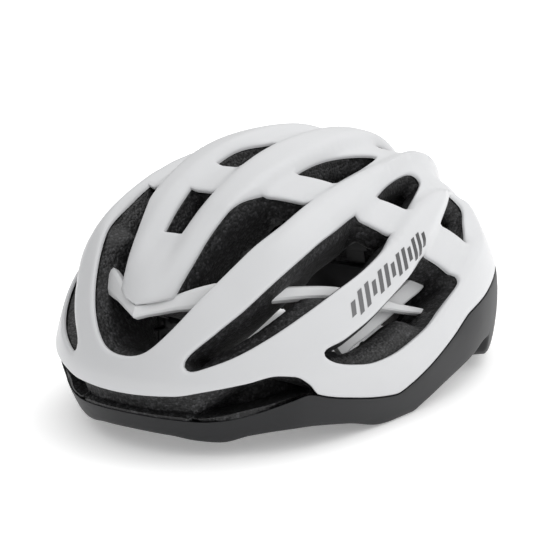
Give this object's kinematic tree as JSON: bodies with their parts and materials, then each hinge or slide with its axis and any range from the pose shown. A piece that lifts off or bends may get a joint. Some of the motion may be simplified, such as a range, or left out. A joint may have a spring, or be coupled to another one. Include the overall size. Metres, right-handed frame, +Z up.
{
  "type": "cycling helmet",
  "caption": "Vented road cycling helmet with two outer shells, foam liner, inner cage, dial-adjusted cradle, pads, straps and buckle.",
  "frame": {"origin": "On the ground under the middle of the helmet's length and width; the rim rests on z = 0.", "axes": "+Z up, -Y is the front of the helmet, +X is the wearer's left."},
  "size_m": [0.201, 0.2851, 0.1318],
  "materials": {
    "white_shell": "satin-gloss moulded polycarbonate",
    "graphite_shell": "satin moulded polycarbonate",
    "foam": "fused bead foam, matt",
    "cage_white": "satin moulded nylon",
    "black_plastic": "fine-textured moulded nylon",
    "pad_fabric": "brushed knit over foam",
    "webbing": "woven polyester tape"
  },
  "bodies": {
    "shell": {"upper_shell": "white_shell", "lower_shell": "graphite_shell", "foam_liner": "foam", "roll_cage": "cage_white", "cage_strut_left": "cage_white", "cage_strut_right": "cage_white", "brow_pad": "pad_fabric", "top_pad": "pad_fabric", "crown_pad_left": "pad_fabric", "crown_pad_right": "pad_fabric", "temple_pad_left": "pad_fabric", "temple_pad_right": "pad_fabric", "height_guide": "black_plastic", "buckle_socket": "black_plastic", "strap_keeper": "black_plastic", "temple_pin_left": "black_plastic", "temple_pin_right": "black_plastic", "front_anchor_left": "black_plastic", "front_anchor_right": "black_plastic", "rear_anchor_left": "black_plastic", "rear_anchor_right": "black_plastic", "strap_divider_left": "black_plastic", "strap_divider_right": "black_plastic", "front_strap_left": "webbing", "front_strap_right": "webbing", "rear_strap_left": "webbing", "rear_strap_right": "webbing", "chin_strap_left": "webbing", "chin_strap_right": "webbing"},
    "cradle": {"dial_housing": "black_plastic", "dial_cover": "black_plastic", "height_strip": "black_plastic", "occipital_cradle": "black_plastic", "cradle_pad_left": "pad_fabric", "cradle_pad_right": "pad_fabric"},
    "dial": {"dial_knob": "black_plastic", "pinion": "black_plastic"},
    "band_left": {"side_band_left": "black_plastic"},
    "band_right": {"side_band_right": "black_plastic"},
    "lever_left": {"divider_lever_left": "black_plastic"},
    "lever_right": {"divider_lever_right": "black_plastic"},
    "plug": {"buckle_plug": "black_plastic"}
  },
  "joints": [
    {"name": "cradle_tilt", "type": "hinge", "parent": "shell", "child": "cradle", "pos_m": [0, -0.014, 0.026], "axis": [1, 0, 0], "range_deg": [-9, 0]},
    {"name": "dial_turn", "type": "hinge", "parent": "cradle", "child": "dial", "pos_m": [0, 0.082, 0.03], "axis": [0, -1, 0], "range_deg": [0, 76]},
    {"name": "band_left_slide", "type": "slide", "parent": "cradle", "child": "band_left", "axis": [-1, 0, 0], "range_m": [0, 0.00597]},
    {"name": "band_right_slide", "type": "slide", "parent": "cradle", "child": "band_right", "axis": [1, 0, 0], "range_m": [0, 0.00597]},
    {"name": "lever_left_open", "type": "hinge", "parent": "shell", "child": "lever_left", "pos_m": [0.06655, -0.012, 0.0071], "axis": [0, -1, 0], "range_deg": [0, 75]},
    {"name": "lever_right_open", "type": "hinge", "parent": "shell", "child": "lever_right", "pos_m": [-0.06655, -0.012, 0.0071], "axis": [0, 1, 0], "range_deg": [0, 75]},
    {"name": "buckle_release", "type": "slide", "parent": "shell", "child": "plug", "axis": [-1, 0, 0], "range_m": [0, 0.022], "deforming": ["chin_strap_right"]}
  ],
  "couplings": [
    {"joint": "dial_turn", "follows": "band_left_slide", "rad_per_m": 222.22},
    {"joint": "band_right_slide", "follows": "band_left_slide", "ratio": 1}
  ]
}
